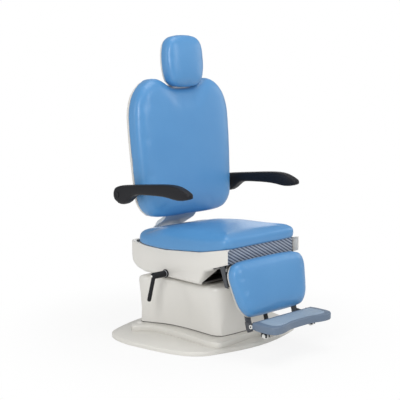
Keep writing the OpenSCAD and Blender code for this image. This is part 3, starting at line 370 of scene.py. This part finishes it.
def moulded(node, edge, crisp=34, fine=0, finish=None):
    """A moulded piece: its node merged, its flats made whole, its sharp edges eased and its curves smooth.

    edge is the radius of the eased edges in mm, and crisp the angle above which an edge counts as sharp.
    """
    piece = merged_copy(node, node + "_piece")
    in_edit(bpy.ops.mesh.dissolve_limited, angle_limit=FLAT)
    if fine:
        in_edit(bpy.ops.mesh.tris_convert_to_quads, face_threshold=QUAD_FACE, shape_threshold=QUAD_SHAPE)
        add_modifier(piece, "SUBSURF", levels=fine, render_levels=fine)
    if edge:
        add_modifier(
            piece, "BEVEL", width=edge * MM, segments=2, limit_method="ANGLE", angle_limit=radians(crisp))
    select_only(piece)
    bpy.ops.object.shade_smooth_by_angle(angle=radians(crisp))
    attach(piece, BODY_OF[node])
    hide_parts(node)
    return dress(piece, SLOT_OF[node], finish)


FACING_FRONT = -0.5


def paint_inner_shade(piece, middle, floor_half_width, floor_top):
    """Marks the faces of a shell that get painted shade, for the shadow inside it.

    They are those that look towards its middle, and the front edge of its floor.
    """
    painted_shade_share = piece.data.attributes.new("painted_shade_share", "FLOAT", "FACE")
    for face in piece.data.polygons:
        at = face.center
        inward = face.normal.dot(at - middle) < 0
        floor_edge = face.normal.y < FACING_FRONT and at.z < floor_top and abs(at.x) < floor_half_width
        painted_shade_share.data[face.index].value = 1.0 if inward or floor_edge else 0.0


# The camera

EYE = Vector((-2.6916, -2.7622, 1.1205))
LOOK_AT = Vector((0.0, 0.025, 0.54285))
camera = bpy.data.objects.new("photo_camera", bpy.data.cameras.new("photo_camera"))
bpy.context.scene.collection.objects.link(camera)
camera.data.lens = 85.5
camera.data.sensor_width = 36.0
camera.location = EYE
camera.rotation_euler = (LOOK_AT - EYE).to_track_quat("-Z", "Y").to_euler()
bpy.context.scene.camera = camera


# The cushions

# The share of the swell that a form is drawn in by first, the simulation's length, and how squarely a face
# looks away from the crown when it rests on the board
DRAWN_IN = 0.3
CLOTH_STEPS = 20
RESTING = -0.8


def fit_to_node(piece, node, proud):
    """Brings a form back to the box of its CAD node, grown by proud, in mm, along X and Z."""
    low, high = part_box(node)
    spots = [v.co for v in piece.data.vertices]
    for axis, grow in enumerate((proud * MM, 0.0, proud * MM)):
        least, most = min(spot[axis] for spot in spots), max(spot[axis] for spot in spots)
        stretch = (high[axis] - low[axis] + 2 * grow) / (most - least)
        for spot in spots:
            spot[axis] = low[axis] - grow + (spot[axis] - least) * stretch


def blow_up(piece, swell, crown):
    """Draws the form in a little and fills it by a cloth simulation. No point moves further than swell mm.

    While the form is drawn in, each normal is read after the points before it have moved.
    """
    for v in piece.data.vertices:
        if crown.dot(v.normal) >= RESTING:
            v.co -= v.normal * swell * MM * DRAWN_IN
    start = [v.co.copy() for v in piece.data.vertices]
    cloth = piece.modifiers.new("Stuffing", "CLOTH")
    cloth.settings.effector_weights.gravity = 0.0
    cloth.settings.use_pressure = True
    cloth.settings.uniform_pressure_force = 4.0
    cloth.settings.vertex_group_mass = "held"
    cloth.settings.tension_stiffness = 30.0
    cloth.settings.compression_stiffness = 30.0
    cloth.settings.bending_stiffness = 2.0
    cloth.point_cache.frame_end = CLOTH_STEPS
    for step in range(1, CLOTH_STEPS + 1):
        bpy.context.scene.frame_set(step)
    select_only(piece)
    bpy.ops.object.modifier_apply(modifier=cloth.name)
    bpy.context.scene.frame_set(1)
    for v, was in zip(piece.data.vertices, start):
        move = v.co - was
        if move.length > swell * MM:
            v.co = was + move.normalized() * swell * MM


def cushion(node, swell, crown, voxel=7.0, proud=0.0):
    """A padded cushion: its CAD form remeshed, blown up over its board, smoothed and fitted back.

    swell, voxel and proud are in mm. crown is the way that its face looks.
    """
    piece = merged_copy(node, node + "_upholstered")
    add_modifier(piece, "REMESH", mode="VOXEL", voxel_size=voxel * MM, adaptivity=0.0)
    piece.data.shade_smooth()
    resting = [v.index for v in piece.data.vertices if crown.dot(v.normal) < RESTING]
    piece.vertex_groups.new(name="held").add(resting, 1.0, "REPLACE")
    blow_up(piece, swell, crown)
    add_modifier(piece, "SMOOTH", factor=0.5, iterations=12)
    fit_to_node(piece, node, proud)
    add_modifier(piece, "SUBSURF", levels=1, render_levels=1)
    piece.data.shade_smooth()
    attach(piece, BODY_OF[node])
    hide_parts(node)
    dress(piece, SLOT_OF[node])


def leaning(degrees):
    """The way that a pad leaning back by so many degrees faces."""
    return Vector((0, -cos(radians(degrees)), sin(radians(degrees)))).normalized()


cushion("seat_cushion", 5.0, leaning(90))
cushion("back_cushion", 5.0, leaning(5.5))
cushion("head_pad", 6.0, leaning(5), voxel=4.5, proud=3.0)
cushion("leg_pad", 2.5, leaning(15), voxel=5.0)


# The moulded and metal pieces

moulded("base_plate", 1.0, 50)
moulded("plinth", 1.2, 50)
# The cover gets a painted shadow of the gap at its foot
moulded("lower_cover", 0, 50, finish=COVER_FINISH)
moulded("inner_skirt", 1.0)
seat_shell = moulded("seat_shell", 0.8, 50, finish=SHELL_FINISH_WITH_PAINTED_SHADE)
# The seat shell's inner faces and the front edge of its floor get painted shade
paint_inner_shade(seat_shell, middle=Vector((0, 0, 0.33)), floor_half_width=0.198, floor_top=0.262)
moulded("front_apron", 0.5)
moulded("back_shell", 0, 50)
moulded("back_bracket", 1.0)
moulded("head_board", 0.8)
moulded("head_post", 0.8)
moulded("head_guide", 0.8)
moulded("leg_shell", 0, 50)
moulded("leg_board", 0.5)
moulded("leg_arms", 0.8)
moulded("leg_bumper", 1.2)
moulded("arm_left", 0, 60, fine=1)
moulded("arm_right", 0, 60, fine=1)
moulded("clamp_lever", 0.6)
moulded("foot_bars", 0.6)
moulded("foot_plate", 0, 50)
moulded("foot_tread", 0.3)
moulded("foot_forks", 0.4)
moulded("foot_rollers", 0.8)
moulded("seat_frame", 0.6)
moulded("shell_brackets", 0.5)


# The fasteners, caps and grip

SHARP = radians(40)
RECESS_TAPER = 0.12
ROUNDING = 0.3


def pick_faces(piece, wanted):
    """Opens the piece in edit mode with only the wanted faces selected."""
    select_only(piece)
    bpy.ops.object.mode_set(mode="EDIT")
    bpy.ops.mesh.select_mode(type="FACE")
    bpy.ops.mesh.select_all(action="DESELECT")
    bpy.ops.object.mode_set(mode="OBJECT")
    for face in piece.data.polygons:
        face.select = wanted(face)
    bpy.ops.object.mode_set(mode="EDIT")


def turned(name, radius, height, socket=0.5, sink=0.55):
    """A turned head or cap on the origin, facing up: a disc with a recess in its face and rounded edges.

    Sizes are in mm. socket is the recess's share of the radius, and sink its share of the height.
    """
    bpy.ops.object.select_all(action="DESELECT")
    bpy.ops.mesh.primitive_cylinder_add(
        vertices=28, radius=radius * MM, depth=height * MM, location=(0, 0, height * MM / 2))
    head = settle(bpy.context.object)
    head.name = name
    pick_faces(head, lambda face: face.normal.z > 0.9)
    bpy.ops.mesh.inset(thickness=radius * (1 - socket) * MM)
    bpy.ops.mesh.inset(thickness=radius * socket * RECESS_TAPER * MM, depth=-height * sink * MM)
    bpy.ops.object.mode_set(mode="OBJECT")
    add_modifier(
        head, "BEVEL", width=height * ROUNDING * MM, segments=3, limit_method="ANGLE", angle_limit=SHARP)
    select_only(head)
    bpy.ops.object.shade_smooth_by_angle(angle=SHARP)
    return head


def seated(pattern, name, node, start, way, slot_name):
    """A copy of the pattern, seated where a line from start first meets the node."""
    skin = frame["nodes"][node].data
    faces = BVHTree.FromPolygons([v.co for v in skin.vertices], [face.vertices for face in skin.polygons])
    place, normal, _, _ = faces.ray_cast(Vector(start), Vector(way))
    piece = bpy.data.objects.new(name, pattern.data.copy())
    bpy.context.scene.collection.objects.link(piece)
    piece.rotation_mode = "QUATERNION"
    piece.rotation_quaternion = normal.to_track_quat("Z", "Y")
    piece.location = place
    settle(piece)
    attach(piece, BODY_OF[node])
    dress(piece, slot_name)


def ring(name, place, axis, radius, wire, slot_name):
    """A ring of round wire about an axis of the brake lever, in mm."""
    bpy.ops.object.select_all(action="DESELECT")
    bpy.ops.mesh.primitive_torus_add(
        major_segments=32, minor_segments=10, major_radius=radius * MM, minor_radius=wire * MM)
    piece = bpy.context.object
    piece.name = name
    piece.rotation_mode = "QUATERNION"
    piece.rotation_quaternion = Vector(axis).to_track_quat("Z", "Y")
    piece.location = place
    settle(piece)
    piece.data.shade_smooth()
    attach(piece, "lever")
    dress(piece, slot_name)


SHELL_SCREW = turned("shell_screw", 5.0, 1.6)
SMALL_SCREW = turned("small_screw", 3.4, 1.4)
WHITE_CAP = turned("white_cap", 8.0, 2.2, socket=0.45, sink=0.3)
HUB = turned("hub", 3.2, 1.4, socket=0.4)
ARM_CAP = turned("arm_cap", 13.0, 1.6, socket=0.8, sink=0.3)

# Piece, pattern, node, finish, whether it is put in from behind, and where its line starts on the right side
FASTENERS = (
    ("back_shell_screw_{}_low", SHELL_SCREW, "back_shell", "small_white", True, (0.17, 0.5, 0.60)),
    ("back_shell_screw_{}_high", SHELL_SCREW, "back_shell", "small_white", True, (0.15, 0.5, 0.90)),
    ("head_screw_{}_low", SMALL_SCREW, "head_board", "bright_steel", True, (0.06, 0.5, 1.045)),
    ("head_screw_{}_high", SMALL_SCREW, "head_board", "bright_steel", True, (0.06, 0.5, 1.165)),
    ("leg_shell_screw_{}_low", SMALL_SCREW, "leg_shell", "bright_steel", True, (0.1, 0.0, 0.20)),
    ("leg_shell_screw_{}_high", SMALL_SCREW, "leg_shell", "bright_steel", True, (0.1, 0.0, 0.31)),
    ("seat_shell_screw_{}", SHELL_SCREW, "seat_shell", "small_white", True, (0.12, 0.5, 0.28)),
    ("foot_hinge_hub_{}", HUB, "foot_bushes", "black_plastic", False, (0.3, -0.411, 0.124)),
    ("roller_cap_{}", WHITE_CAP, "foot_forks", "small_white", False, (0.3, -0.464, 0.097)),
    ("arm_cap_{}", ARM_CAP, "arm_{}", "black_plastic", False, (0.5, 0.165, 0.582)),
)
for side, mark in ((-1, "left"), (1, "right")):
    for name, pattern, node, slot_name, from_behind, (x, y, z) in FASTENERS:
        way = (0, -1, 0) if from_behind else (-side, 0, 0)
        seated(pattern, name.format(mark), node.format(mark), (side * x, y, z), way, slot_name)
for pattern in (SHELL_SCREW, SMALL_SCREW, WHITE_CAP, HUB, ARM_CAP):
    bpy.data.objects.remove(pattern)

COLLAR = Vector((-0.2125, 0.008, 0.269))
ELBOW = Vector((-0.270, 0.008, 0.269))
GRIP_END = Vector((-0.294, 0.010, 0.176))
GRIP_RIBS = 5
FIRST_RIB_SHARE = 0.02
RIB_STEP_SHARE = 0.06
ring("lever_ring", COLLAR, (1, 0, 0), 13.0, 1.3, "bright_steel")
for count in range(GRIP_RIBS):
    rib_place = GRIP_END.lerp(ELBOW, FIRST_RIB_SHARE + RIB_STEP_SHARE * count)
    ring(f"lever_grip_{count}", rib_place, ELBOW - GRIP_END, 8.0, 0.9, "black_plastic")

for name, node in frame["nodes"].items():
    if not node.hide_render:
        dress(node, SLOT_OF[name])


# The studio

PURE_WHITE = (1, 1, 1, 1)
FLOOR_GAP = 0.5 * MM
SHADE_REACH = (0.45, 1.0)
LEAST_CLEAR = 0.84
WORLD_LIGHT = 0.46


def studio_floor():
    """A plain pale floor that shows white round the chair and keeps a soft shadow."""
    bpy.ops.object.select_all(action="DESELECT")
    bpy.ops.mesh.primitive_plane_add(size=40.0, location=(0, 0, -FLOOR_GAP))
    floor = bpy.context.object
    floor.name = "studio_floor"
    f = Finish("pale_studio_floor")
    f.set(Base_Color=srgb(235, 235, 234), Roughness=0.9, Specular_IOR_Level=0.1)
    camera_ray = f.node("LightPath", out="Is Camera Ray")
    glossy_ray = f.node("LightPath", out="Is Glossy Ray")
    away = f.node("VectorMath", {"operation": "LENGTH"}, [f.place], out="Value")
    clear = f.node("MapRange", {"interpolation_type": "SMOOTHSTEP"}, (away, *SHADE_REACH, LEAST_CLEAR, 1.0))
    glow = f.node("Emission", values={"Color": PURE_WHITE, "Strength": 1.0})
    shaded = Wire(f, f.shader.outputs[0])
    mixed = f.node("MixShader", values=(camera_ray * clear + glossy_ray * 0.5, shaded, glow))
    f.feed(f.tree.nodes["Material Output"].inputs[0], mixed)
    floor.data.materials.append(f.material)


def softbox(name, place, aim, size, watts):
    """A soft rectangular lamp at a place, turned to what it lights."""
    lamp = bpy.data.objects.new(name, bpy.data.lights.new(name, "AREA"))
    bpy.context.scene.collection.objects.link(lamp)
    lamp.data.shape = "RECTANGLE"
    lamp.data.size, lamp.data.size_y = size
    lamp.data.energy = watts
    lamp.location = place
    lamp.rotation_euler = (Vector(aim) - Vector(place)).to_track_quat("-Z", "Y").to_euler()


def white_studio():
    """A white room that lights evenly, and is pure white where the camera sees it."""
    world = bpy.data.worlds.new("white_studio")
    bpy.context.scene.world = world
    world.use_nodes = True
    tree = world.node_tree
    paths = tree.nodes.new("ShaderNodeLightPath")
    room = tree.nodes["Background"]
    room.inputs["Color"].default_value = PURE_WHITE
    room.inputs["Strength"].default_value = WORLD_LIGHT
    backdrop = tree.nodes.new("ShaderNodeBackground")
    backdrop.inputs["Color"].default_value = PURE_WHITE
    backdrop.inputs["Strength"].default_value = 1.0
    seen = tree.nodes.new("ShaderNodeMath")
    seen.operation = "MAXIMUM"
    pick = tree.nodes.new("ShaderNodeMixShader")
    tree.links.new(paths.outputs["Is Camera Ray"], seen.inputs[0])
    tree.links.new(paths.outputs["Is Transmission Ray"], seen.inputs[1])
    tree.links.new(seen.outputs[0], pick.inputs[0])
    tree.links.new(room.outputs[0], pick.inputs[1])
    tree.links.new(backdrop.outputs[0], pick.inputs[2])
    tree.links.new(pick.outputs[0], tree.nodes["World Output"].inputs[0])


studio_floor()
white_studio()
softbox("key_softbox", (-3.1, -1.9, 2.0), (0, -0.1, 0.6), (0.8, 1.8), 58)
softbox("left_softbox", (-3.0, 1.4, 1.7), (0, 0, 0.7), (0.6, 2.0), 12)
softbox("front_softbox", (0.7, -3.6, 2.2), (0, 0, 0.6), (1.6, 1.6), 26)
softbox("overhead_softbox", (0.1, -0.5, 3.6), (0, 0, 0), (2.2, 2.2), 38)
softbox("right_softbox", (2.9, -1.0, 1.6), (0, 0, 0.6), (1.8, 1.8), 14)
softbox("rear_softbox", (2.6, 2.6, 1.35), (0, 0, 0.6), (1.6, 1.2), 8)
bpy.context.scene.view_settings.view_transform = "Standard"
